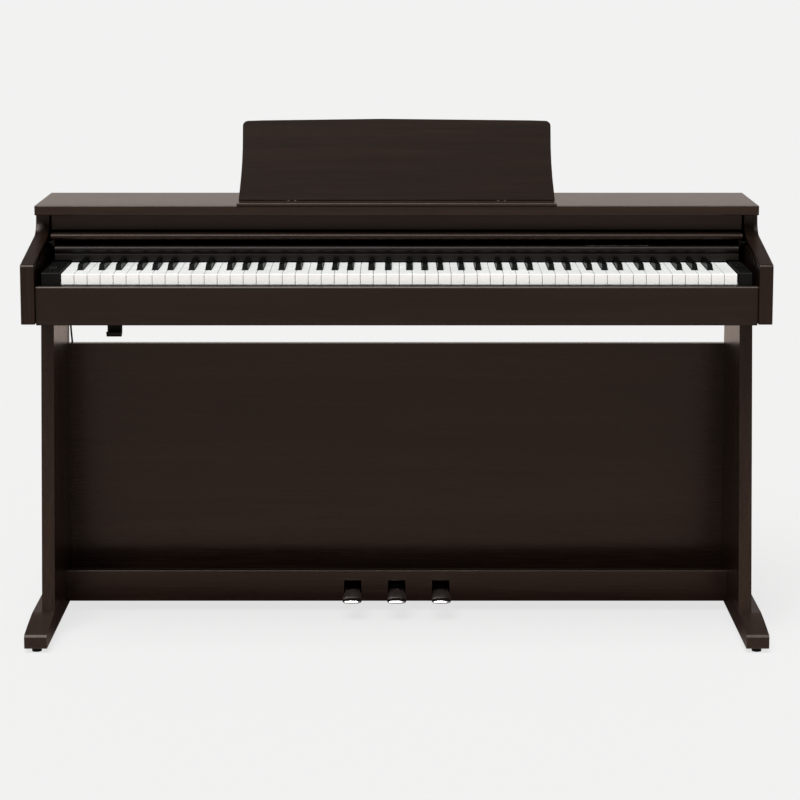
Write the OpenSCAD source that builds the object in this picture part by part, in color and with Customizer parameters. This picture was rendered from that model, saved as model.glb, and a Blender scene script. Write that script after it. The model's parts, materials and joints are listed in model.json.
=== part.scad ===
// Digital piano on a stand: 88 keys in a wood laminate cabinet with a curved sliding key cover,
// a folding music rest, and a stand with a pedal rail and three pedals.
// Frame: +X to the player's right, +Y to the back, +Z up, origin on the floor at the middle.

/* [Cabinet] */
// Width over the two side panels
cabinet_w = 1354; // [1340:1:1356]
// Depth of the cabinet and of the feet
depth = 405; // [400:1:410]
// Height of the top board's upper face
height = 807; // [804:1:810]
// Height of the cabinet's lower edge
bed_z = 611; // [608:1:612]
// Thickness of the side panels
side_t = 25; // [22:1:28]
// Thickness of the top board
top_t = 18; // [15:1:20]

/* [Keyboard] */
// Distance from one white key to the next
key_pitch = 23.5; // [23:0.1:23.6]
// Gap between neighbouring keys
key_gap = 1; // [0.8:0.1:1.2]
// Height of the white keys' upper face
key_top = 700; // [699:0.5:701]
// Shift of the keyboard to the right of the middle
key_shift = 4.5; // [0:0.5:5]
// Width of a black key at its foot
black_w = 10.6; // [9.5:0.1:11]

/* [Key cover] */
// Thickness of the curved cover sheet
cover_t = 6; // [5:0.5:7]
// Outer radius of the curved cover sheet
cover_r = 511; // [509:1:512]

/* [Music rest] */
// Width of the rest at its foot
rest_w = 596; // [560:1:600]
// Length of the rest along its slope, at its middle
rest_len = 157; // [150:1:160]
// Lean of the rest from upright, in degrees
rest_lean = 18; // [16:1:18]
// Thickness of the rest
rest_t = 12; // [11:1:13]

/* [Stand] */
// Width over the feet
foot_span = 1368; // [1355:1:1370]
// Thickness of a foot
foot_t = 41.5; // [38:0.5:43]
// Height of a foot's flat top
foot_top = 47; // [44:1:50]
// Thickness of a leg
leg_t = 24; // [22:1:27]
// Height of the back board's upper edge
back_board_top = 514; // [480:2:540]

/* [Pedals] */
// Distance from one pedal to the next
pedal_pitch = 85.5; // [80:0.5:92]
// Width of a pedal at its front
pedal_w = 38; // [34:1:40]

/* [Hidden] */

wood = "#33241f";
wood_inside = "#2b2220";
black_plastic = "#1c1d1c";
dark_cloth = "#101010";
steel = "#9a9ca0";
chrome = "#d8dadd";
ivory = "#f4f3ee";
ebony = "#17181a";
board_green = "#2f5b3c";

// Cabinet
x_out = cabinet_w / 2;
x_in = x_out - side_t;
y_front = -depth / 2;
y_back = depth / 2;
board_z = height - top_t;
bed_t = 18;
bed_top = bed_z + bed_t;
board_front = -27;
board_inset = 2.5;
riser_y = 9;
arm_front_z = 719.5;
arm_rise = 9.3;
name_y = 20;
name_z = 756;
slip_y = -194;
slip_t = 12;
slip_top = 680;
slip_round = 5;
slip_chamfer = 9;
slip_low = bed_z - 3.5;
back_t = 12;
back_recess = 2;

// Key cover: its sheet and its rollers run on arcs about one line under the cabinet
arc_y = -16;
arc_z = 243;
cover_back_a = 23.2;
roller_r = 492;
roller_a = [1.5, 21.8];
roller_pin = 3;
cover_w = 1290;
groove_a = [-17.9, 22.7];
groove_half = 3.4;
groove_depth = 6;

// Keyboard
white_count = 52;
keys_x0 = key_shift - white_count * key_pitch / 2;
key_front = -177.5;
key_back = 52;
pivot_y = 40;
pivot_z = 690;
pivot_r = 3;
run_gap = 0.06;
key_under = 684;
key_lip = 681;
black_front = -127;
black_top = 711;
panel_y = -24;
panel_w = 1277;
black_shift = [0, -3.5, 0, 3.5, 0, 0, -4.5, 0, 0, 0, 4.5, 0];
first_middle = 39;
last_middle = 50;
last_key = 87;
block_top = 702.5;
block_front = -180;

// Controls
button_size = [12, 9];
button_y = [-92, -72];
volume_y = -135;
volume_slot = 44;
left_control_x = -626;
right_control_x = 630;
power_size = [13, 20];
power_y = -105;
control_rise = 2.5;

// Music rest and its hinge
hinge_y = 44;
hinge_z = 815.7;
hinge_in = 7.5;
hinge_up = 7;
hinge_pin_r = 2;
ear_x = 198;
ear_w = 10;
ear_r = 4.5;
ledge_front = -29;
ledge_back = 36;
ledge_t = 3;
strut_x = 150;
strut_up = 60;
strut_len = 74;
strut_drop = 63.2;
strut_w = 10;
strut_t = 3;
strut_pin_r = 1.5;
strut_bracket_r = 3;

// Stand
foot_x = foot_span / 2;
leg_x0 = foot_x - foot_t;
leg_front_top = -22;
leg_front_low = -89;
leg_back = 188;
pad_h = 8;
pad_r = 9;
pad_y = 184;
back_board_t = 15;
back_board_y = leg_back - back_board_t;
rail_y = 75;
rail_t = 18;
rail_z0 = 22;
rail_z1 = 83;
side_screw = [[180.5, 120], [180.5, 470], [84, 66]];
screw_r = 2.5;
foot_bolt_y = [20, 140];

// Pedals
pedal_pivot_z = 52;
pedal_rod_r = 4;
pedal_tip = -2;
pedal_len = 132;
pedal_pivot_y = pedal_tip + pedal_len;
slot_w = 33.5;
slot_z = [36, 63];
box_half = 150;
box_wall = 3;
box_z = [26, 68];

// Pedal cable, from the bed down behind the back board and through it to the pedal box
cable_r = 2;
cable_sides = 8;
cable_y = 194;
cable_low = 42;
cable_route = [[-641.5, cable_y, 611], [-641.5, cable_y, 585], [-641, cable_y, 560],
               [-639.5, cable_y, 535], [-637.5, cable_y, 510], [-636, cable_y, 485],
               [-636, cable_y, 320], [-636, cable_y, 180], [-635.5, cable_y, 100],
               [-631, cable_y, 72], [-620, cable_y, 54], [-600, cable_y, 44],
               [-575, cable_y, cable_low], [-480, cable_y, cable_low], [-330, cable_y, cable_low],
               [-200, cable_y, cable_low], [-150, cable_y, cable_low], [-126, 193, cable_low],
               [-112, 187, cable_low], [-106.5, 179, cable_low], [-105, 170, cable_low],
               [-105, 148.2, cable_low]];
cable_hole_x = -107;
cable_hole = 11;
clip_up = [460, 320, 180];
clip_flat = [-480, -330, -200];

// ---- helpers ----
// A profile given in Y and Z, drawn out along X
module span_x(x0, x1) {
    translate([x0, 0, 0]) rotate([90, 0, 90]) linear_extrude(x1 - x0) children();
}
// A profile given in X and Z, drawn out along Y
module span_y(y0, y1) {
    translate([0, y1, 0]) rotate([90, 0, 0]) linear_extrude(y1 - y0) children();
}
module box(x0, x1, y0, y1, z0, z1) {
    translate([x0, y0, z0]) cube([x1 - x0, y1 - y0, z1 - z0]);
}
module rod_x(x0, x1, y, z, r) {
    translate([x0, y, z]) rotate([0, 90, 0]) cylinder(h = x1 - x0, r = r, $fn = 48);
}
module rod_y(y0, y1, x, z, r) {
    translate([x, y0, z]) rotate([-90, 0, 0]) cylinder(h = y1 - y0, r = r, $fn = 48);
}
module rod_z(z0, z1, x, y, r) {
    translate([x, y, z0]) cylinder(h = z1 - z0, r = r, $fn = 48);
}
module both_sides() {
    children();
    mirror([1, 0, 0]) children();
}
function arc(c, r, a0, a1, n = 12) =
    [for (i = [0:n]) let (a = a0 + (a1 - a0) * i / n) [c[0] + r * cos(a), c[1] + r * sin(a)]];
// A point at radius r and angle a, measured from straight up towards the back
function polar(r, a) = [arc_y + r * sin(a), arc_z + r * cos(a)];
function ring(r0, r1, a0, a1, n = 24) = concat(
    [for (i = [0:n]) polar(r1, a0 + (a1 - a0) * i / n)],
    [for (i = [0:n]) polar(r0, a1 + (a0 - a1) * i / n)]);

// ---- cabinet ----
nose_r = 6;
fillet_r = 32;
function arm_line(y) = arm_front_z + (y - y_front) * tan(arm_rise);
nose_c = [y_front + nose_r, arm_line(y_front + nose_r) - nose_r / cos(arm_rise)];
fillet_c = [riser_y - fillet_r, arm_line(riser_y - fillet_r) + fillet_r / cos(arm_rise)];
module side_profile() {
    polygon(concat(
        [[y_back, bed_z], [y_back, board_z], [riser_y, board_z]],
        arc(fillet_c, fillet_r, 360, 270 + arm_rise),
        arc(nose_c, nose_r, 90 + arm_rise, 180, 8),
        arc([y_front + 3, bed_z + 3], 3, 180, 270, 4)));
}
module side_panel() {
    difference() {
        span_x(x_in, x_out) side_profile();
        span_x(x_in - 1, x_in + groove_depth)
            polygon(ring(roller_r - groove_half, roller_r + groove_half, groove_a[0], groove_a[1], 36));
    }
}
module side_panel_left() {
    color(wood) mirror([1, 0, 0]) side_panel();
}
module side_panel_right() {
    color(wood) side_panel();
}
module top_board() {
    guide_w = strut_w + 10;
    color(wood) difference() {
        span_x(-x_out + board_inset, x_out - board_inset) polygon(concat(
            [[y_back, board_z], [y_back, height]],
            arc([board_front + 2, height - 2], 2, 90, 180, 4),
            arc([board_front + 2, board_z + 2], 2, 180, 270, 4)));
        both_sides() box(strut_x - guide_w / 2, strut_x + guide_w / 2, 62, 190, height - 2, height + 1);
    }
}
module name_board() {
    color(wood) box(-x_in + 2, x_in - 2, name_y, name_y + 16, name_z, board_z);
}
module key_slip() {
    color(wood) span_x(-x_in, x_in) polygon(concat(
        [[slip_y + slip_t, slip_low], [slip_y + slip_t, slip_top]],
        arc([slip_y + slip_round, slip_top - slip_round], slip_round, 90, 180, 8),
        [[slip_y, slip_low + slip_chamfer], [slip_y + slip_chamfer * 0.7, slip_low]]));
}
module key_bed() {
    color(wood_inside) difference() {
        box(-x_in, x_in, slip_y + slip_t, y_back - back_recess - back_t, bed_z, bed_top);
        both_sides() rod_z(bed_z - 1, bed_top + 1, 480, 125, 50);
        rod_z(bed_z - 1, bed_top + 1, -570, 60, 6);
    }
}
module cabinet_back() {
    y1 = y_back - back_recess;
    y0 = y1 - back_t;
    color(wood_inside) difference() {
        box(-x_in, x_in, y0, y1, bed_z, board_z);
        box(370, 490, y0 - 1, y1 + 1, 655, 705);
        box(cable_route[0][0] - 5, cable_route[0][0] + 5, y0 - 1, y1 - 3, bed_z - 1, bed_top + 10);
        for (x = [-300:25:300]) box(x, x + 12, y0 - 1, y1 + 1, 660, 700);
    }
}
module inner_panel() {
    ridge_y = panel_y + 4;
    color(black_plastic) span_x(-panel_w / 2, panel_w / 2) polygon(concat(
        [[panel_y + 12, 704.5], [panel_y, 704.5], [panel_y, 715.5], [ridge_y, 716.5], [ridge_y, 719.2]],
        arc([ridge_y, 725], 5.8, 270, 90, 16),
        [[panel_y + 12, 730.8]]));
}
module felt_strips() {
    color(dark_cloth) {
        box(-606, 615, panel_y + 0.6, panel_y + 8, 703.4, 704.5);
        box(-606, 615, -166, -150, 671, 674.5);
    }
}

// ---- keyboard ----
function is_black(i) = search((i + 9) % 12, [1, 3, 6, 8, 10]) != [];
function whites_before(i) = len([for (k = [0:1:i - 1]) if (!is_black(k)) k]);
function key_edge(i) = keys_x0 + whites_before(i) * key_pitch;
function black_x(i) = key_edge(i) + black_shift[(i + 9) % 12];
module white_profile() {
    polygon(concat(
        [[key_back, key_under], [key_back, key_top], [key_front + 20, key_top]],
        arc([key_front + 1.5, key_top - 1.5], 1.5, 90, 180, 4),
        [[key_front, key_lip], [key_front + 3, key_lip], [key_front + 4, key_under + 4],
         [key_front + 9, key_under]]));
}
module black_slot(i) {
    half = black_w / 2 + key_gap;
    box(black_x(i) - half, black_x(i) + half, black_front - key_gap, key_back + 1,
        key_lip - 1, key_top + 1);
}
module white_key(i) {
    x = key_edge(i);
    color(ivory) difference() {
        span_x(x + key_gap / 2, x + key_pitch - key_gap / 2) white_profile();
        if (i > 0 && is_black(i - 1)) black_slot(i - 1);
        if (i < last_key && is_black(i + 1)) black_slot(i + 1);
        rod_x(x, x + key_pitch, pivot_y, pivot_z, pivot_r + run_gap);
    }
}
module black_key(i) {
    x = black_x(i);
    half = black_w / 2;
    top_half = half - 0.8;
    color(ebony) difference() {
        intersection() {
            span_x(x - half, x + half) polygon(concat(
                [[key_back, key_under], [key_back, key_top + 2], [panel_y - 2, key_top + 2],
                 [panel_y - 2.5, black_top]],
                arc([black_front + 14, black_top - 3], 3, 90, 150, 4),
                [[black_front, key_top - 2], [black_front, key_under]]));
            span_y(black_front - 1, key_back + 1) polygon([
                [x - half, key_under], [x - half, key_top], [x - top_half, black_top - 1],
                [x - top_half + 1, black_top], [x + top_half - 1, black_top],
                [x + top_half, black_top - 1], [x + half, key_top], [x + half, key_under]]);
        }
        rod_x(x - half - 1, x + half + 1, pivot_y, pivot_z, pivot_r + run_gap);
    }
}
module white_range(first, last) {
    for (i = [first:last]) if (!is_black(i)) white_key(i);
}
module black_range(first, last) {
    for (i = [first:last]) if (is_black(i)) black_key(i);
}
module white_keys_bass() {
    white_range(0, first_middle - 1);
}
module black_keys_bass() {
    black_range(0, first_middle - 1);
}
module white_keys_treble() {
    white_range(last_middle + 1, last_key);
}
module black_keys_treble() {
    black_range(last_middle + 1, last_key);
}
module middle_key(semitone) {
    i = first_middle + semitone;
    if (is_black(i)) black_key(i);
    else white_key(i);
}
module key_frame() {
    side = 1.5;
    x0 = keys_x0 - 0.5;
    x1 = -keys_x0 + 2 * key_shift + 0.5;
    color(steel) difference() {
        union() {
            box(x0, x1, -172, 60, bed_top, bed_top + 3);
            box(x0, x1, -168, -148, bed_top + 3, 671);
            box(x0, x1, 48, 51, bed_top + 3, 676);
            for (x = [x0 - side, x1]) box(x, x + side, -172, 60, bed_top, 684);
            for (x = [x0 - side, x1]) box(x, x + side, 24, 56, 680, 699);
            for (x = [-500:250:500]) box(x, x + 4, -148, 48, bed_top + 3, 665);
        }
        rod_x(x0 - 5, x1 + 5, pivot_y, pivot_z, pivot_r);
        box(x0 + 5, x1 - 5, -165, -151, bed_top + 3, 668);
    }
}
// One rod carries the keys and one carries the pedals
module pivot_rods() {
    color(steel) {
        rod_x(keys_x0 - 4, -keys_x0 + 2 * key_shift + 4, pivot_y, pivot_z, pivot_r);
        rod_x(-box_half, box_half, pedal_pivot_y, pedal_pivot_z, pedal_rod_r);
    }
}
module end_block(x0, x1) {
    color(black_plastic) difference() {
        span_x(x0, x1) polygon(concat(
            [[panel_y - 0.5, 655], [panel_y - 0.5, block_top]],
            arc([block_front + 2, block_top - 2], 2, 90, 180, 4),
            [[block_front, 655]]));
        children();
    }
}
module button_well(x, y, size) {
    grow = 0.5;
    box(x - size[0] / 2 - grow, x + size[0] / 2 + grow, y - size[1] / 2 - grow, y + size[1] / 2 + grow,
        block_top - 9, block_top + 1);
}
module end_block_left() {
    end_block(-642, -609) {
        button_well(left_control_x, button_y[0], button_size);
        button_well(left_control_x, button_y[1], button_size);
        box(left_control_x - 1.5, left_control_x + 1.5, volume_y - volume_slot / 2,
            volume_y + volume_slot / 2, block_top - 9, block_top + 1);
    }
}
module end_block_right() {
    end_block(618.5, 642) button_well(right_control_x, power_y, power_size);
}
module push_button(x, y, size) {
    box(x - size[0] / 2, x + size[0] / 2, y - size[1] / 2, y + size[1] / 2,
        block_top - 5, block_top + control_rise);
}
module power_button() {
    color(ebony) push_button(right_control_x, power_y, power_size);
}
module function_button_1() {
    color(ebony) push_button(left_control_x, button_y[0], button_size);
}
module function_button_2() {
    color(ebony) push_button(left_control_x, button_y[1], button_size);
}
module volume_knob() {
    color(ebony) {
        box(left_control_x - 1, left_control_x + 1, volume_y - 4, volume_y + 4,
            block_top - 5, block_top + 0.5);
        span_x(left_control_x - 7, left_control_x + 7) polygon([
            [volume_y - 5, block_top + 0.5], [volume_y - 3.5, block_top + 5.5],
            [volume_y, block_top + 4.5], [volume_y + 3.5, block_top + 5.5],
            [volume_y + 5, block_top + 0.5]]);
    }
}

// ---- key cover ----
module key_cover() {
    lip_z = 748.6;
    lip_r = 5.6;
    sheet_a = -0.6;
    color(wood) {
        span_x(-cover_w / 2, cover_w / 2) {
            polygon(ring(cover_r - cover_t, cover_r, sheet_a, cover_back_a));
            polygon(concat(arc([arc_y - 5, lip_z], lip_r, 270, 90, 16), [polar(507, 0), polar(503, 0)]));
        }
        both_sides() for (a = roller_a) span_x(cover_w / 2 - 5, cover_w / 2)
            polygon(ring(roller_r - 5, cover_r - cover_t + 0.5, a - 0.9, a + 0.9, 4));
    }
}
module cover_rollers() {
    color(black_plastic) both_sides() for (a = roller_a)
        rod_x(cover_w / 2, x_in + groove_depth - 1.5, polar(roller_r, a)[0], polar(roller_r, a)[1],
              roller_pin);
}

// ---- music rest ----
// Places a shape drawn upright, with the hinge line at the origin, into the leaning rest
module leaning() {
    translate([0, hinge_y, hinge_z]) rotate([-rest_lean, 0, 0]) children();
}
module rest_outline() {
    half = rest_w / 2;
    top_half = half - 6.5;
    shoulder = rest_len - 4;
    corner = 10;
    waist = 2.5;
    crest_r = (top_half * top_half + 16) / 8;
    polygon(concat(
        [[-half, -hinge_up], [half, -hinge_up]],
        [for (t = [0.1:0.1:0.9]) [half - (half - top_half) * t - waist * sin(180 * t),
                                  -hinge_up + (shoulder - corner) * t]],
        arc([top_half - corner, shoulder - hinge_up - corner], corner, 0, 90, 8),
        [for (t = [0.9:-0.1:-0.9]) [(top_half - corner) * t,
                                    rest_len - hinge_up - crest_r + sqrt(crest_r * crest_r
                                    - pow((top_half - corner) * t, 2))]],
        arc([-top_half + corner, shoulder - hinge_up - corner], corner, 90, 180, 8),
        [for (t = [0.9:-0.1:0.1]) [-half + (half - top_half) * t + waist * sin(180 * t),
                                   -hinge_up + (shoulder - corner) * t]]));
}
module music_rest() {
    back = rest_t - hinge_in;
    notch_w = ear_w + 6;
    color(wood) leaning() difference() {
        union() {
            span_y(-hinge_in, back) rest_outline();
            both_sides() for (x = [strut_x - strut_w / 2 - 3.5, strut_x + strut_w / 2 + 0.5])
                difference() {
                    union() {
                        rod_x(x, x + 3, back + 3, strut_up, strut_bracket_r);
                        box(x, x + 3, back - 0.5, back + 3, strut_up - 3, strut_up + 3);
                    }
                    rod_x(x - 1, x + 4, back + 3, strut_up, strut_pin_r);
                }
        }
        both_sides() box(ear_x - notch_w / 2, ear_x + notch_w / 2, -hinge_in + 3 - 0.2, back + 1,
                         -hinge_up - 1, ear_r + 1);
        both_sides() rod_x(ear_x - notch_w / 2 - 8, ear_x + notch_w / 2 + 8, 0, 0, hinge_pin_r);
    }
}
module rest_hinge_pins() {
    back = rest_t - hinge_in;
    color(steel) leaning() both_sides() {
        rod_x(ear_x - ear_w / 2 - 10, ear_x + ear_w / 2 + 10, 0, 0, hinge_pin_r);
        rod_x(strut_x - strut_w / 2 - 3.5, strut_x + strut_w / 2 + 3.5, back + 3, strut_up, strut_pin_r);
    }
}
module rest_support() {
    back = rest_t - hinge_in;
    top_y = hinge_y + strut_up * sin(rest_lean) + (back + 3) * cos(rest_lean);
    top_z = hinge_z + strut_up * cos(rest_lean) - (back + 3) * sin(rest_lean);
    angle = asin(strut_drop / strut_len);
    color(steel) translate([strut_x, top_y, top_z]) rotate([-angle, 0, 0]) difference() {
        union() {
            box(-strut_w / 2, strut_w / 2, 0, strut_len, -strut_t / 2, strut_t / 2);
            rod_x(-strut_w / 2, strut_w / 2, 0, 0, 2.7);
            rod_x(-strut_w / 2, strut_w / 2, strut_len, 0, 1.9);
        }
        rod_x(-strut_w / 2 - 1, strut_w / 2 + 1, 0, 0, strut_pin_r + run_gap);
    }
}
module rest_support_left() {
    mirror([1, 0, 0]) rest_support();
}
module rest_support_right() {
    rest_support();
}
module rest_ledge() {
    half = rest_w / 2;
    color(wood) {
        span_x(-half, half) polygon(concat(
            [[ledge_back, height], [ledge_back, height + ledge_t], [ledge_front + 5, height + ledge_t],
             [ledge_front + 4, height + ledge_t + 2]],
            arc([ledge_front + 2, height + ledge_t], 2, 90, 180, 4),
            [[ledge_front, height]]));
        both_sides() difference() {
            union() {
                box(ear_x - ear_w / 2, ear_x + ear_w / 2, ledge_back, hinge_y + 6, height, height + 3);
                box(ear_x - ear_w / 2, ear_x + ear_w / 2, hinge_y - ear_r, hinge_y + ear_r,
                    height + 3, hinge_z);
                rod_x(ear_x - ear_w / 2, ear_x + ear_w / 2, hinge_y, hinge_z, ear_r);
            }
            rod_x(ear_x - ear_w, ear_x + ear_w, hinge_y, hinge_z, hinge_pin_r + run_gap);
        }
    }
}

// ---- inside the cabinet and under it ----
module circuit_boards() {
    color(board_green) {
        for (x = [-590, 10]) box(x, x + 580, -95, -25, 666, 668);
        box(-200, 200, 70, 170, 640, 642);
        for (x = [-180:90:180]) box(x - 14, x + 14, 95, 125, 642, 648);
        for (x = [-190, 190], y = [80, 160]) rod_z(bed_top, 640, x, y, 4);
        box(-540, 540, 66, 68, bed_top, 660);
    }
    color(dark_cloth) for (x = [-590, 10]) box(x + 5, x + 575, -66, -54, 668, 678.5);
}
module headphone_hook() {
    x0 = -530;
    inner = 9;
    wall = 4;
    web_y = -128;
    low_z = 583 + inner;
    color(black_plastic) span_x(x0, x0 + 27) {
        polygon(concat(
            [[web_y + wall, bed_z], [web_y + wall, low_z]],
            arc([web_y - inner, low_z], inner + wall, 0, -165, 20),
            arc([web_y - inner, low_z], inner, 195, 360, 20),
            [[web_y, bed_z]]));
        polygon([[web_y - 22, bed_z - 3], [web_y - 22, bed_z], [web_y + 30, bed_z], [web_y + 30, bed_z - 3]]);
    }
}
module headphone_box() {
    color(black_plastic) difference() {
        box(-605, -545, 30, 90, 587, bed_z);
        rod_y(29, 62, -588, 599, 3.2);
        rod_y(29, 46, -562, 599, 1.8);
    }
}
module jack_panel() {
    color(black_plastic) difference() {
        union() {
            box(371, 489, 194, 197, 656, 704);
            for (x = [395, 430, 465]) box(x - 9, x + 9, 162, 194, 668, 692);
        }
        rod_y(180, 198, 395, 680, 2.8);
        for (x = [430, 465]) rod_y(165, 198, x, 680, 3.2);
    }
}
module speaker() {
    color(black_plastic) translate([480, 125, bed_top]) rotate_extrude($fn = 96) polygon([
        [0, 22], [10, 22], [46, 3], [50, 3], [50, 0], [56, 0], [56, 4], [36, 26], [36, 50], [0, 50]]);
}
module speakers() {
    both_sides() speaker();
}
module speaker_grilles() {
    color(dark_cloth) both_sides() difference() {
        rod_z(bed_z, bed_z + 3, 480, 125, 49.9);
        for (x = [440:10:520]) for (y = [85:10:165])
            if (norm([x - 480, y - 125]) < 44) box(x - 3, x + 3, y - 3, y + 3, bed_z - 1, bed_z + 4);
    }
}

// ---- stand ----
module leg() {
    color(wood) difference() {
        span_x(leg_x0, leg_x0 + leg_t) polygon([[leg_front_low, foot_top], [leg_back, foot_top],
                                                [leg_back, bed_z], [leg_front_top, bed_z]]);
        for (p = side_screw) rod_x(leg_x0 - 1, leg_x0 + leg_t + 1, p[0], p[1], screw_r + 0.05);
        for (y = foot_bolt_y) rod_z(foot_top - 1, foot_top + 50, leg_x0 + leg_t / 2, y, 3.05);
    }
}
module leg_left() {
    mirror([1, 0, 0]) leg();
}
module leg_right() {
    leg();
}
module foot_profile() {
    nose_z = 34;
    chamfer = 4;
    tip_y = y_front + chamfer;
    polygon(concat(
        [[y_front + 3, pad_h], [y_back - 3, pad_h], [y_back, pad_h + 3], [y_back, foot_top]],
        [for (i = [0:12]) let (t = i / 12) [leg_front_low + (tip_y - leg_front_low) * t,
                                            foot_top - (foot_top - nose_z) * pow(t, 1.35)]],
        [[y_front, nose_z - chamfer], [y_front, pad_h + 3]]));
}
module foot() {
    mid = leg_x0 + leg_t / 2;
    color(wood) difference() {
        span_x(leg_x0, foot_x) foot_profile();
        for (y = foot_bolt_y) {
            rod_z(pad_h - 1, foot_top + 1, mid, y, 3.05);
            rod_z(pad_h - 1, pad_h + 8, mid, y, 7);
        }
    }
}
module foot_left() {
    mirror([1, 0, 0]) foot();
}
module foot_right() {
    foot();
}
module foot_pads() {
    color(black_plastic) both_sides() for (y = [-pad_y, pad_y])
        rod_z(0, pad_h, foot_x - foot_t / 2, y, pad_r);
}
module stand_fasteners() {
    color(steel) both_sides() {
        for (p = side_screw) {
            rod_x(leg_x0 - 30, leg_x0 + leg_t, p[0], p[1], screw_r);
            rod_x(leg_x0 + leg_t, leg_x0 + leg_t + 2.5, p[0], p[1], 5.5);
        }
        for (y = foot_bolt_y) {
            rod_z(pad_h + 5, foot_top + 50, leg_x0 + leg_t / 2, y, 3);
            rod_z(pad_h + 1, pad_h + 5, leg_x0 + leg_t / 2, y, 6.5);
        }
        box(leg_x0 - 3, leg_x0, 62, 108, bed_z - 26, bed_z);
        box(leg_x0 - 33, leg_x0 - 3, 62, 108, bed_z - 3, bed_z);
    }
}
module back_board() {
    color(wood) difference() {
        box(-leg_x0, leg_x0, back_board_y, back_board_y + back_board_t, rail_z0, back_board_top);
        both_sides() for (z = [side_screw[0][1], side_screw[1][1]])
            rod_x(leg_x0 - 32, leg_x0 + 1, side_screw[0][0], z, screw_r + 0.05);
        rod_y(back_board_y - 1, back_board_y + back_board_t + 1, cable_hole_x, cable_low, cable_hole);
    }
}
module pedal_rail() {
    color(wood) difference() {
        span_x(-leg_x0, leg_x0) polygon(concat(
            [[rail_y + rail_t, rail_z0], [rail_y + rail_t, rail_z1]],
            arc([rail_y + 2, rail_z1 - 2], 2, 90, 180, 4),
            [[rail_y, rail_z0]]));
        both_sides() rod_x(leg_x0 - 32, leg_x0 + 1, side_screw[2][0], side_screw[2][1], screw_r + 0.05);
        for (i = [-1:1]) box(i * pedal_pitch - slot_w / 2, i * pedal_pitch + slot_w / 2,
                             rail_y - 1, rail_y + rail_t + 1, slot_z[0], slot_z[1]);
    }
}
module pedal_box() {
    y0 = rail_y + rail_t;
    y1 = y0 + 55;
    color(steel) difference() {
        box(-box_half, box_half, y0, y1, box_z[0], box_z[1]);
        box(-box_half + box_wall, box_half - box_wall, y0 - 1, y1 - box_wall, box_z[0] + box_wall,
            box_z[1] - box_wall);
        rod_x(-box_half - 1, box_half + 1, pedal_pivot_y, pedal_pivot_z, pedal_rod_r);
    }
}
module pedal(x) {
    back_w = 25;
    round_r = 7;
    half = pedal_w / 2;
    color(chrome) translate([x, pedal_tip, 0]) difference() {
        union() {
            intersection() {
                translate([0, 0, 20]) linear_extrude(60) polygon(concat(
                    [[back_w / 2, pedal_len], [back_w / 2, 72], [back_w / 2 + 0.5, 54],
                     [half - 2.5, 32], [half - 0.5, 18]],
                    arc([half - round_r, round_r], round_r, 0, -90, 6),
                    arc([-half + round_r, round_r], round_r, -90, -180, 6),
                    [[-half + 0.5, 18], [-half + 2.5, 32], [-back_w / 2 - 0.5, 54],
                     [-back_w / 2, 72], [-back_w / 2, pedal_len]]));
                span_x(-pedal_w, pedal_w) polygon([
                    [0, 38.6], [0, 40], [1.2, 42.6], [4, 45], [9, 47], [20, 49],
                    [45, 51.5], [77, 54], [105, 57], [122, 59], [pedal_len, 59],
                    [pedal_len, 46], [105, 47], [77, 46.5], [45, 44.8], [20, 41.5], [8, 38.6], [3, 37.6]]);
            }
            rod_x(-back_w / 2, back_w / 2, pedal_len, pedal_pivot_z, 9);
        }
        rod_x(-back_w, back_w, pedal_len, pedal_pivot_z, pedal_rod_r + run_gap);
    }
}
module pedal_left() {
    pedal(-pedal_pitch);
}
module pedal_middle() {
    pedal(0);
}
module pedal_right() {
    pedal(pedal_pitch);
}

// ---- pedal cable ----
function unit(v) = v / norm(v);
// Rings stand square to the route, which turns in two planes, so each ring's side vector
// is taken from the direction that the route never follows at that point
function tangent(p, i) = unit(p[min(i + 1, len(p) - 1)] - p[max(i - 1, 0)]);
function side_of(t) = unit(cross(t, abs(t[1]) > 0.7 ? [0, 0, 1] : [0, 1, 0]));
function cable_ring(p, i) = let (t = tangent(p, i), s = side_of(t), u = cross(s, t))
    [for (k = [0:cable_sides - 1]) let (a = 360 * k / cable_sides)
        p[i] + cable_r * (cos(a) * s + sin(a) * u)];
module pedal_cable() {
    n = len(cable_route);
    points = [for (i = [0:n - 1]) each cable_ring(cable_route, i)];
    walls = [for (i = [0:n - 2], k = [0:cable_sides - 1]) let (m = (k + 1) % cable_sides)
        [i * cable_sides + k, i * cable_sides + m, (i + 1) * cable_sides + m, (i + 1) * cable_sides + k]];
    ends = [[for (k = [cable_sides - 1:-1:0]) k], [for (k = [0:cable_sides - 1]) (n - 1) * cable_sides + k]];
    color(black_plastic) polyhedron(points, concat(walls, ends));
}
module cable_clips() {
    y0 = back_board_y + back_board_t;
    color(black_plastic) {
        for (z = clip_up) difference() {
            box(-640, -631.5, y0, y0 + 10, z - 4, z + 4);
            rod_z(z - 5, z + 5, -636, cable_y, cable_r + 0.1);
        }
        for (x = clip_flat) difference() {
            box(x - 4, x + 4, y0, y0 + 10, cable_low - 4.5, cable_low + 7);
            rod_x(x - 5, x + 5, cable_y, cable_low, cable_r + 0.1);
        }
    }
}

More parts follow.
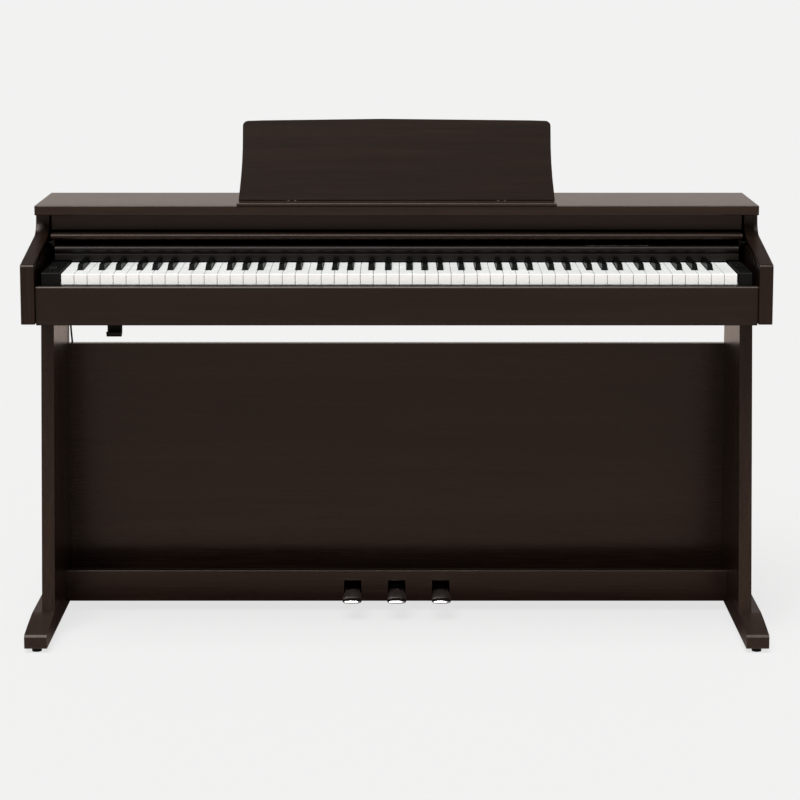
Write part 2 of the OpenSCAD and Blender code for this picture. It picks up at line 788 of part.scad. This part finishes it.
side_panel_left();
side_panel_right();
top_board();
name_board();
key_slip();
key_bed();
cabinet_back();
inner_panel();
felt_strips();
end_block_left();
end_block_right();
key_frame();
pivot_rods();
circuit_boards();
headphone_hook();
headphone_box();
jack_panel();
speakers();
speaker_grilles();
leg_left();
leg_right();
foot_left();
foot_right();
foot_pads();
stand_fasteners();
back_board();
pedal_rail();
pedal_box();
pedal_cable();
cable_clips();
rest_ledge();
key_cover();
cover_rollers();
music_rest();
rest_hinge_pins();
rest_support_left();
rest_support_right();
pedal_left();
pedal_middle();
pedal_right();
power_button();
volume_knob();
function_button_1();
function_button_2();
white_keys_bass();
black_keys_bass();
white_keys_treble();
black_keys_treble();
middle_key(0);  // key_c4
middle_key(1);  // key_c4_sharp
middle_key(2);  // key_d4
middle_key(3);  // key_d4_sharp
middle_key(4);  // key_e4
middle_key(5);  // key_f4
middle_key(6);  // key_f4_sharp
middle_key(7);  // key_g4
middle_key(8);  // key_g4_sharp
middle_key(9);  // key_a4
middle_key(10);  // key_a4_sharp
middle_key(11);  // key_b4
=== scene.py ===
import json
import math

import bmesh
import bpy
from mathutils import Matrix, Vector

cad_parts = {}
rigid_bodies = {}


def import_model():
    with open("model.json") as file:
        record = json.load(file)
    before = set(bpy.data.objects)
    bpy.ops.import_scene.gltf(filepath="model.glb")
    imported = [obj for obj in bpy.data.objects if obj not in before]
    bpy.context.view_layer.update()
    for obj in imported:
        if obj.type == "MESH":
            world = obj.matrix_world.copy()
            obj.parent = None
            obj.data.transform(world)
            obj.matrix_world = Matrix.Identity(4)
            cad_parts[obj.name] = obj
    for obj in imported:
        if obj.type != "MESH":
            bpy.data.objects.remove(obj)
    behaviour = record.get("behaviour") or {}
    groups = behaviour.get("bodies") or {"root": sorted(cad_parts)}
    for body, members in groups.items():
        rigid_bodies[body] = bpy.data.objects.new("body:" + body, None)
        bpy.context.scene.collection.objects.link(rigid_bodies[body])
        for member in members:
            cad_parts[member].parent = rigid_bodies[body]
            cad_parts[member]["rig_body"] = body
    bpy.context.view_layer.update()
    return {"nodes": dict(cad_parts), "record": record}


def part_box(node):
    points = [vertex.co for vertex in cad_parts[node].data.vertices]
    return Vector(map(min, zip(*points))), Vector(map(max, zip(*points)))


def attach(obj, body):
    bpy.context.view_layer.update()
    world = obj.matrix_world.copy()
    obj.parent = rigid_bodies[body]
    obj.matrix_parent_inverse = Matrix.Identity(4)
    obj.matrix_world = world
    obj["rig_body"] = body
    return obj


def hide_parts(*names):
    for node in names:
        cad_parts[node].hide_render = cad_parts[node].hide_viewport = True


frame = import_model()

nodes = frame["nodes"]
scene = bpy.context.scene


def link(name, data):
    """Puts a new object that holds data into the scene."""
    made = bpy.data.objects.new(name, data)
    scene.collection.objects.link(made)
    return made


# ---- camera ----
CAMERA_BACK = 4.5937
CAMERA_HEIGHT = 1.3237
CAMERA_PITCH = 8.175
CAMERA_SHIFT = (0.0041, -0.15)
FOCAL_IN_WIDTHS = 3.0865
SENSOR_MM = 36

camera_data = bpy.data.cameras.new("camera")
camera_data.sensor_width = SENSOR_MM
camera_data.lens = FOCAL_IN_WIDTHS * SENSOR_MM
camera_data.shift_x, camera_data.shift_y = CAMERA_SHIFT
camera = link("camera", camera_data)
camera.location = (0, -CAMERA_BACK, CAMERA_HEIGHT)
camera.rotation_euler = (math.radians(90 - CAMERA_PITCH), 0, 0)
scene.camera = camera
scene.view_settings.view_transform = "Standard"


# ---- node helpers ----
class Shader:
    """A material or world's node tree, built one node at a time."""

    def __init__(self, owner):
        owner.use_nodes = True
        self.tree = owner.node_tree
        self.tree.nodes.clear()

    def feed(self, socket, value):
        if isinstance(value, bpy.types.NodeSocket):
            self.tree.links.new(value, socket)
        else:
            socket.default_value = value

    def node(self, kind, inputs=None, **settings):
        made = self.tree.nodes.new(kind)
        for name, value in settings.items():
            setattr(made, name, value)
        for name, value in (inputs or {}).items():
            self.feed(made.inputs[name], value)
        return made

    def ramp(self, value, stops):
        made = self.node("ShaderNodeValToRGB", {"Fac": value})
        points = made.color_ramp.elements
        while len(points) < len(stops):
            points.new(0.5)
        for point, (place, colour) in zip(points, stops):
            point.position = place
            point.color = (*colour, 1)
        return made.outputs["Color"]

    def span(self, value, low, high, from_low=0.3, from_high=0.7):
        made = self.node("ShaderNodeMapRange", {
            "Value": value, "From Min": from_low, "From Max": from_high,
            "To Min": low, "To Max": high})
        return made.outputs["Result"]

    def noise(self, place, scale, detail=4.0, roughness=0.55, distortion=0.0):
        made = self.node("ShaderNodeTexNoise", {
            "Vector": place, "Scale": scale, "Detail": detail,
            "Roughness": roughness, "Distortion": distortion})
        return made.outputs["Fac"]

    def mix(self, amount, first, second, blend="MIX"):
        made = self.node("ShaderNodeMix", data_type="RGBA", blend_type=blend)
        self.feed(made.inputs[0], amount)
        for socket, value in ((made.inputs[6], first), (made.inputs[7], second)):
            if isinstance(value, bpy.types.NodeSocket):
                self.feed(socket, value)
            else:
                self.feed(socket, (*value, 1))
        return made.outputs[2]

    def grey(self, value):
        made = self.node("ShaderNodeCombineColor", {"Red": value, "Green": value, "Blue": value})
        return made.outputs["Color"]

    def math(self, operation, first, second):
        made = self.node("ShaderNodeMath", operation=operation)
        for socket, value in zip(made.inputs, (first, second)):
            self.feed(socket, value)
        return made.outputs["Value"]

    def place(self, scale=(1, 1, 1), offset=(0, 0, 0)):
        where = self.node("ShaderNodeTexCoord").outputs["Object"]
        made = self.node("ShaderNodeMapping", {"Vector": where, "Scale": scale, "Location": offset})
        return made.outputs["Vector"]

    def bump(self, height, strength, distance):
        made = self.node("ShaderNodeBump", {
            "Height": height, "Strength": strength, "Distance": distance})
        return made.outputs["Normal"]

    def surface(self, **inputs):
        named = {name.replace("_", " "): value for name, value in inputs.items()}
        shader = self.node("ShaderNodeBsdfPrincipled", named)
        self.node("ShaderNodeOutputMaterial", {"Surface": shader.outputs["BSDF"]})


# ---- materials ----
def new_material(name):
    made = bpy.data.materials.new(name)
    return made, Shader(made)


def scaled(axis, along, across):
    return tuple(along if i == axis else across for i in range(3))


WARM = (1.0, 0.88, 0.80, 1)


def wood(name, axis, dark, light, gloss=0.3, offset=0.0, tone_scale=1.0, specular=0.32):
    """Dark open-pored laminate with its grain along one axis."""
    made, s = new_material(name)
    dark, light = ([c * tone_scale for c in colour] for colour in (dark, light))
    middle = [(a + b) / 2 for a, b in zip(dark, light)]
    pore_colour = [c * 0.35 for c in dark]
    shift = (offset, offset * 1.7, offset * 2.3)
    figure = s.noise(s.place(scaled(axis, 1.1, 26), shift), 1.0, 5, 0.6, 0.5)
    streak = s.noise(s.place(scaled(axis, 5, 260), shift), 1.0, 4, 0.65)
    fibre = s.noise(s.place(scaled(axis, 18, 950), shift), 1.0, 3, 0.6)
    pore = s.noise(s.place(scaled(axis, 70, 2100), shift), 1.0, 2, 0.5)
    tone = s.math("ADD", s.math("MULTIPLY", streak, 0.45), s.math("MULTIPLY", figure, 0.55))
    base = s.ramp(tone, [(0.36, dark), (0.5, middle), (0.64, light)])
    base = s.mix(1.0, base, s.grey(s.span(fibre, 0.78, 1.12, 0.35, 0.65)), "MULTIPLY")
    base = s.mix(s.span(pore, 0.0, 0.6, 0.62, 0.72), base, pore_colour)
    rough = s.math("ADD", s.span(fibre, gloss - 0.02, gloss + 0.05), s.span(pore, 0.0, 0.12, 0.6, 0.75))
    grooves = s.math("SUBTRACT", s.math("MULTIPLY", fibre, 0.5), s.span(pore, 0.0, 0.8, 0.6, 0.75))
    s.surface(Base_Color=base, Roughness=rough, Specular_IOR_Level=specular, Specular_Tint=WARM,
              Normal=s.bump(grooves, 0.16, 0.0003))
    return made


def plastic(name, dark, light, rough, grain_scale, grain_strength, specular=0.5):
    """Moulded plastic with a fine spark-eroded texture."""
    made, s = new_material(name)
    where = s.place()
    cloud = s.noise(where, 9, 3)
    grain = s.noise(where, grain_scale, 2, 0.6)
    roughness = s.math("ADD", s.span(cloud, rough - 0.03, rough + 0.03), s.span(grain, -0.03, 0.03))
    s.surface(Base_Color=s.mix(s.span(cloud, 0, 1), dark, light), Roughness=roughness,
              Specular_IOR_Level=specular, Normal=s.bump(grain, grain_strength, 0.0002))
    return made


def metal(name, dark, light, rough, axis, brush):
    """Bare or plated metal with fine lines along one axis."""
    made, s = new_material(name)
    cloud = s.noise(s.place(), 22, 4, 0.6)
    lines = s.noise(s.place(scaled(axis, 12, 1400)), 1.0, 3, 0.6)
    roughness = s.math("ADD", s.span(cloud, rough - 0.03, rough + 0.04), s.span(lines, 0.0, brush))
    s.surface(Base_Color=s.mix(s.span(cloud, 0, 1), dark, light), Metallic=1.0,
              Roughness=roughness, Normal=s.bump(lines, 0.08, 0.0001))
    return made


def cloth(name, dark, light, scale):
    """Matt felt with short fibres."""
    made, s = new_material(name)
    fibres = s.noise(s.place(), scale, 5, 0.75, 1.2)
    s.surface(Base_Color=s.mix(s.span(fibres, 0, 1), dark, light), Roughness=0.95,
              Specular_IOR_Level=0.15, Sheen_Weight=0.4, Sheen_Roughness=0.6,
              Normal=s.bump(fibres, 0.5, 0.0006))
    return made


def board_green(name):
    """Circuit board: solder resist with darker and lighter copper runs under it."""
    made, s = new_material(name)
    runs = s.node("ShaderNodeTexBrick", {
        "Vector": s.place(), "Scale": 60.0, "Mortar Size": 0.06,
        "Color1": (0.012, 0.09, 0.03, 1), "Color2": (0.02, 0.13, 0.05, 1),
        "Mortar": (0.05, 0.2, 0.08, 1)}).outputs["Color"]
    mottle = s.span(s.noise(s.place(), 300, 2), 0, 0.5)
    s.surface(Base_Color=s.mix(mottle, runs, (0.01, 0.05, 0.02)), Roughness=0.35)
    return made


X, Y, Z = range(3)
WOOD = ((0.0078, 0.0036, 0.0022), (0.0190, 0.0102, 0.0070))
INSIDE_WOOD = ((0.010, 0.0062, 0.0042), (0.019, 0.0125, 0.0090))
DARK_PLASTIC = ((0.0022, 0.0027, 0.0022), (0.0042, 0.0048, 0.0040))
CONTROL = ((0.0022, 0.0026, 0.0023), (0.0042, 0.0046, 0.0042))
PANEL = ((0.0078, 0.0060, 0.0049), (0.0118, 0.0092, 0.0078))
EBONY = ((0.0016, 0.0017, 0.0018), (0.0028, 0.0029, 0.0031))
IVORY = ((0.82, 0.835, 0.82), (0.86, 0.875, 0.86))

# Copies of the one laminate: tone_scale paints each part's light and shade into its colour, so the key
# slip's copy is darkest and the legs' and top board's lightest
wood_x = wood("wood_grain_x", X, *WOOD, tone_scale=1.15)
wood_x_low = wood("wood_grain_x_low", X, *WOOD, 0.2, 3.1, 0.88)
wood_y = wood("wood_grain_y", Y, *WOOD, 0.42, 5.3)
wood_z = wood("wood_grain_z", Z, *WOOD, 0.27, 7.7, 1.15)
wood_front_x = wood("wood_grain_x_front", X, *WOOD, 0.3, 1.9, 0.5)
wood_side = wood("wood_grain_z_side", Z, *WOOD, 0.3, 6.1, 0.78, 0.24)
wood_cover = wood("wood_grain_x_cover", X, *WOOD, 0.34, 2.7, 1.0, 0.17)
wood_rest = wood("wood_grain_x_rest", X, *WOOD, 0.42, 4.3, 0.8, 0.12)
wood_back = wood("wood_inside_grain_x", X, *INSIDE_WOOD, 0.5, 9.2)
black_plastic = plastic("black_plastic", *DARK_PLASTIC, 0.42, 1400, 0.25, 0.1)
panel_plastic = plastic("panel_plastic", *PANEL, 0.38, 1400, 0.15, 0.14)
black_key = plastic("black_key", *EBONY, 0.26, 1900, 0.12, 0.01)
control_plastic = plastic("control_plastic", *CONTROL, 0.4, 1600, 0.12, 0.1)
white_key = plastic("white_key", *IVORY, 0.26, 500, 0.03)
sheath = plastic("cable_sheath", (0.010, 0.010, 0.010), (0.016, 0.016, 0.016), 0.5, 900, 0.2)
felt = cloth("felt", (0.006, 0.006, 0.006), (0.018, 0.017, 0.017), 1500)
grille = plastic("grille", (0.006, 0.006, 0.006), (0.012, 0.012, 0.012), 0.6, 800, 0.3)
steel = metal("steel", (0.42, 0.43, 0.44), (0.56, 0.57, 0.58), 0.32, X, 0.12)
chrome = metal("chrome", (0.70, 0.70, 0.72), (0.80, 0.80, 0.82), 0.1, Y, 0.05)
circuit = board_green("circuit_board")

FINISH = {
    "side_panel_left": wood_side, "side_panel_right": wood_side,
    "top_board": wood_x, "name_board": wood_x, "rest_ledge": wood_x,
    "key_slip": wood_front_x, "key_cover": wood_cover, "music_rest": wood_rest,
    "key_bed": wood_back, "cabinet_back": wood_back,
    "leg_left": wood_z, "leg_right": wood_z, "foot_left": wood_y, "foot_right": wood_y,
    "back_board": wood_x_low, "pedal_rail": wood_x_low,
    "inner_panel": panel_plastic, "felt_strips": felt,
    "end_block_left": black_plastic, "end_block_right": black_plastic,
    "headphone_hook": black_plastic, "headphone_box": black_plastic,
    "jack_panel": black_plastic, "foot_pads": black_plastic,
    "pedal_box": black_plastic, "cover_rollers": black_plastic,
    "pedal_cable": sheath, "cable_clips": sheath,
    "speakers": grille, "speaker_grilles": grille, "circuit_boards": circuit,
    "key_frame": steel, "pivot_rods": steel, "stand_fasteners": steel,
    "rest_hinge_pins": steel, "rest_support_left": steel, "rest_support_right": steel,
    "pedal_left": chrome, "pedal_middle": chrome, "pedal_right": chrome,
    "power_button": control_plastic, "volume_knob": control_plastic,
    "function_button_1": control_plastic, "function_button_2": control_plastic,
}
for name, node in nodes.items():
    finish = FINISH.get(name)
    if finish is None:
        is_black = name.startswith("black_keys") or name.endswith("_sharp")
        finish = black_key if is_black else white_key
    node.data.materials.clear()
    node.data.materials.append(finish)


# ---- CAD shapes with their edges eased ----
SLOT_OF = {part["node"]: part["material_slot"] for part in frame["record"]["subparts"]}
WELD = 1e-6
FLAT_ANGLE = math.radians(1.0)
EDGE_ANGLE = math.radians(34)
SMOOTH_ANGLE = math.radians(40)
EASE_SEGMENTS = 2


def refine(name, width):
    """Stands for a CAD node with the same shape, its sharp edges eased by width."""
    source = nodes[name]
    mesh = source.data.copy()
    bm = bmesh.new()
    bm.from_mesh(mesh)
    bmesh.ops.remove_doubles(bm, verts=bm.verts, dist=WELD)
    bmesh.ops.dissolve_limit(bm, angle_limit=FLAT_ANGLE, verts=bm.verts, edges=bm.edges)
    sharp = [e for e in bm.edges if e.is_manifold and e.calc_face_angle() > EDGE_ANGLE]
    bmesh.ops.bevel(bm, geom=sharp, offset=width, offset_type="OFFSET", segments=EASE_SEGMENTS,
                    profile=0.5, affect="EDGES", clamp_overlap=True)
    bmesh.ops.triangulate(bm, faces=[f for f in bm.faces if len(f.verts) > 4])
    bm.to_mesh(mesh)
    bm.free()
    custom = mesh.attributes.get("custom_normal")
    if custom is not None:
        mesh.attributes.remove(custom)
    mesh.shade_smooth()
    mesh.set_sharp_from_angle(angle=SMOOTH_ANGLE)
    piece = link(name + "_eased", mesh)
    weighted = piece.modifiers.new("weighted", "WEIGHTED_NORMAL")
    weighted.keep_sharp = True
    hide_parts(name)
    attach(piece, source["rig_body"])


BOARD_EDGE = 0.0013
TRIM_EDGE = 0.0006
KEY_EDGE = 0.00045
BOARDS = ("side_panel_left", "side_panel_right", "top_board", "name_board", "key_slip", "leg_left",
          "leg_right", "foot_left", "foot_right", "back_board", "pedal_rail", "music_rest",
          "cabinet_back")
TRIM = ("rest_ledge", "end_block_left", "end_block_right", "inner_panel", "headphone_hook",
        "headphone_box", "jack_panel", "power_button", "function_button_1", "function_button_2",
        "volume_knob", "rest_support_left", "rest_support_right", "stand_fasteners", "key_cover",
        "pedal_cable", "cable_clips")


def is_keys(name):
    single = name.startswith("key_") and SLOT_OF[name] in ("white_key", "black_key")
    return single or "_keys_" in name


for name in BOARDS:
    refine(name, BOARD_EDGE)
for name in TRIM:
    refine(name, TRIM_EDGE)
for name in nodes:
    if is_keys(name):
        refine(name, KEY_EDGE)


# ---- pedals ----
# Sections from the tip to the pivot: distance from the tip, half width, underside, top, crown
PEDAL_SECTIONS = (
    (0.0000, 0.0100, 0.0385, 0.0402, 0.0004), (0.0006, 0.0135, 0.0379, 0.0414, 0.0008),
    (0.0022, 0.0162, 0.0376, 0.0433, 0.0012), (0.0050, 0.0180, 0.0378, 0.0452, 0.0015),
    (0.0095, 0.0189, 0.0388, 0.0470, 0.0018), (0.0170, 0.0189, 0.0405, 0.0485, 0.0020),
    (0.0300, 0.0176, 0.0430, 0.0499, 0.0020), (0.0440, 0.0150, 0.0447, 0.0514, 0.0018),
    (0.0580, 0.0131, 0.0455, 0.0525, 0.0015), (0.0720, 0.0125, 0.0462, 0.0535, 0.0012),
    (0.0880, 0.0124, 0.0467, 0.0549, 0.0010), (0.1050, 0.0124, 0.0469, 0.0568, 0.0008),
    (0.1210, 0.0124, 0.0460, 0.0588, 0.0006), (0.1320, 0.0124, 0.0434, 0.0606, 0.0004),
    (0.1390, 0.0122, 0.0460, 0.0574, 0.0003))
RING = 40
SQUARENESS = 4.5


def pedal_ring(bm, x, tip, section):
    """One closed section of a pedal: a rounded slab with a slightly crowned top."""
    along, half, low, high, crown = section
    mid, tall = (low + high) / 2, (high - low) / 2
    ring = []
    for i in range(RING):
        angle = 2 * math.pi * i / RING
        right, rise = math.cos(angle), math.sin(angle)
        across = half * math.copysign(abs(right) ** (2 / SQUARENESS), right)
        up = math.copysign(abs(rise) ** (2 / SQUARENESS), rise)
        drop = crown * (across / half) ** 2 if up > 0 else 0.0
        ring.append(bm.verts.new((x + across, tip + along, mid + up * tall - drop)))
    return ring


def make_pedal(name):
    low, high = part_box(name)
    x = (low[0] + high[0]) / 2
    bm = bmesh.new()
    rings = [pedal_ring(bm, x, low[1], section) for section in PEDAL_SECTIONS]
    for a, b in zip(rings, rings[1:]):
        for i in range(RING):
            j = (i + 1) % RING
            bm.faces.new((a[i], a[j], b[j], b[i]))
    bm.faces.new(rings[0][::-1])
    bm.faces.new(rings[-1])
    bmesh.ops.recalc_face_normals(bm, faces=bm.faces)
    mesh = bpy.data.meshes.new(name + "_cast")
    bm.to_mesh(mesh)
    bm.free()
    mesh.shade_smooth()
    mesh.materials.append(chrome)
    piece = link(name + "_cast", mesh)
    smooth = piece.modifiers.new("smooth", "SUBSURF")
    smooth.levels = smooth.render_levels = 1
    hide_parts(name)
    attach(piece, name)


for name in ("pedal_left", "pedal_middle", "pedal_right"):
    make_pedal(name)


# ---- dust screen inside the vents of the cabinet's back ----
SCREEN_LEFT, SCREEN_RIGHT = -0.330, 0.345
SCREEN_BOTTOM, SCREEN_TOP = 0.650, 0.710
SCREEN_T = 0.0008
SCREEN_GAP = 0.0001
SCREEN_RIM = 0.004
RIM_RISE = 0.0006
WEAVE = 0.0025
WEAVE_RISE = 0.0002


def make_screen():
    """A thin embossed sheet with a raised rim, glued behind the row of vents."""
    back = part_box("cabinet_back")[0][1] - SCREEN_GAP
    columns = round((SCREEN_RIGHT - SCREEN_LEFT) / WEAVE)
    rows = round((SCREEN_TOP - SCREEN_BOTTOM) / WEAVE)
    bm = bmesh.new()
    front, rear = [], []
    for j in range(rows + 1):
        for i in range(columns + 1):
            x = SCREEN_LEFT + (SCREEN_RIGHT - SCREEN_LEFT) * i / columns
            z = SCREEN_BOTTOM + (SCREEN_TOP - SCREEN_BOTTOM) * j / rows
            inset = min(x - SCREEN_LEFT, SCREEN_RIGHT - x, z - SCREEN_BOTTOM, SCREEN_TOP - z)
            raised = RIM_RISE if inset < SCREEN_RIM else WEAVE_RISE * ((i + j) % 2)
            front.append(bm.verts.new((x, back - SCREEN_T - raised, z)))
            rear.append(bm.verts.new((x, back, z)))

    def at(i, j):
        return j * (columns + 1) + i

    for j in range(rows):
        for i in range(columns):
            loop = (at(i, j), at(i + 1, j), at(i + 1, j + 1), at(i, j + 1))
            bm.faces.new([front[k] for k in loop])
            bm.faces.new([rear[k] for k in reversed(loop)])
    rim = ([at(i, 0) for i in range(columns)] + [at(columns, j) for j in range(rows)]
           + [at(i, rows) for i in range(columns, 0, -1)] + [at(0, j) for j in range(rows, 0, -1)])
    for a, b in zip(rim, rim[1:] + rim[:1]):
        bm.faces.new((front[a], rear[a], rear[b], front[b]))
    bmesh.ops.recalc_face_normals(bm, faces=bm.faces)
    mesh = bpy.data.meshes.new("vent_screen")
    bm.to_mesh(mesh)
    bm.free()
    mesh.materials.append(grille)
    piece = link("vent_screen", mesh)
    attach(piece, "cabinet")


make_screen()


# ---- floor ----
# The camera sees a flat pale floor; reflections and bounced light see a darker, warmer, glowing one
# with a painted shadow that is darkest under the instrument and behind its front edge.
FLOOR_HALF = 40.0
FLOOR_GLOW = 0.724
SEEN_FLOOR, SEEN_GLOW = (0.11, 0.109, 0.108), (1.0, 1.0, 1.0)
# painted shadow: the floor's colour and glow under and close to the instrument
SHADOWED_NEAR_FLOOR, SHADOWED_NEAR_GLOW = (0.05, 0.034, 0.030), (0.048, 0.032, 0.029)
FAR_FLOOR, FAR_GLOW = (0.20, 0.18, 0.17), (0.64, 0.49, 0.415)
NEAR_RADIUS, FAR_RADIUS = 0.9, 3.0
FRONT_Y, MIDDLE_Y = -0.22, -0.04

floor_mesh = bpy.data.meshes.new("floor")
floor_mesh.from_pydata([(-FLOOR_HALF, -FLOOR_HALF, 0), (FLOOR_HALF, -FLOOR_HALF, 0),
                        (FLOOR_HALF, FLOOR_HALF, 0), (-FLOOR_HALF, FLOOR_HALF, 0)],
                       [], [(0, 1, 2, 3)])
floor = link("floor", floor_mesh)
floor_material, s = new_material("floor")
spot = s.node("ShaderNodeTexCoord").outputs["Object"]
distance = s.node("ShaderNodeVectorMath", {"Vector": spot}, operation="LENGTH").outputs["Value"]
away = s.span(distance, 0.0, 1.0, NEAR_RADIUS, FAR_RADIUS)
depth = s.node("ShaderNodeSeparateXYZ", {"Vector": spot}).outputs["Y"]
before = s.span(depth, 1.0, 0.0, FRONT_Y, MIDDLE_Y)
# clear is 0 inside the painted shadow near and under the instrument, 1 outside it
clear = s.math("MAXIMUM", away, before)
seen = s.node("ShaderNodeLightPath").outputs["Is Camera Ray"]
s.surface(Base_Color=s.mix(seen, s.mix(clear, SHADOWED_NEAR_FLOOR, FAR_FLOOR), SEEN_FLOOR),
          Roughness=0.9, Specular_IOR_Level=0.0, Emission_Strength=FLOOR_GLOW,
          Emission_Color=s.mix(seen, s.mix(clear, SHADOWED_NEAR_GLOW, FAR_GLOW), SEEN_GLOW))
floor_mesh.materials.append(floor_material)


# ---- world ----
# The camera sees a plain pale wall; reflections see a grey front of the room and a back
# that is bright low down and dark above.
PALE = (0.888, 0.888, 0.888)
ROOM_BEHIND_CAMERA = (0.42, 0.42, 0.42)
ROOM_LOW, ROOM_HIGH = (1.04, 0.92, 0.85), (0.07, 0.06, 0.055)

world = bpy.data.worlds.new("studio")
scene.world = world
s = Shader(world)
direction = s.node("ShaderNodeTexCoord").outputs["Generated"]
parts = s.node("ShaderNodeSeparateXYZ", {"Vector": direction})
front = s.span(parts.outputs["Y"], 0.0, 1.0, -0.75, 0.15)
high = s.span(parts.outputs["Z"], 0.0, 1.0, 0.14, 0.42)
room = s.mix(front, ROOM_BEHIND_CAMERA, s.mix(high, ROOM_LOW, ROOM_HIGH))
seen = s.node("ShaderNodeLightPath").outputs["Is Camera Ray"]
light = s.node("ShaderNodeBackground", {"Color": s.mix(seen, room, PALE), "Strength": 1.0})
s.node("ShaderNodeOutputWorld", {"Surface": light.outputs["Background"]})


# ---- lights ----
def sun(name, energy, spread, towards):
    """A soft distant light: its strength, angular width in degrees and direction."""
    data = bpy.data.lights.new(name, "SUN")
    data.energy = energy
    data.angle = math.radians(spread)
    lamp = link(name, data)
    lamp.rotation_euler = Vector(towards).to_track_quat("-Z", "Y").to_euler()


sun("key_light", 3.0, 38, (0.3, 0.9, -1.46))
sun("top_light", 1.5, 26, (0.05, 0.15, -1.0))
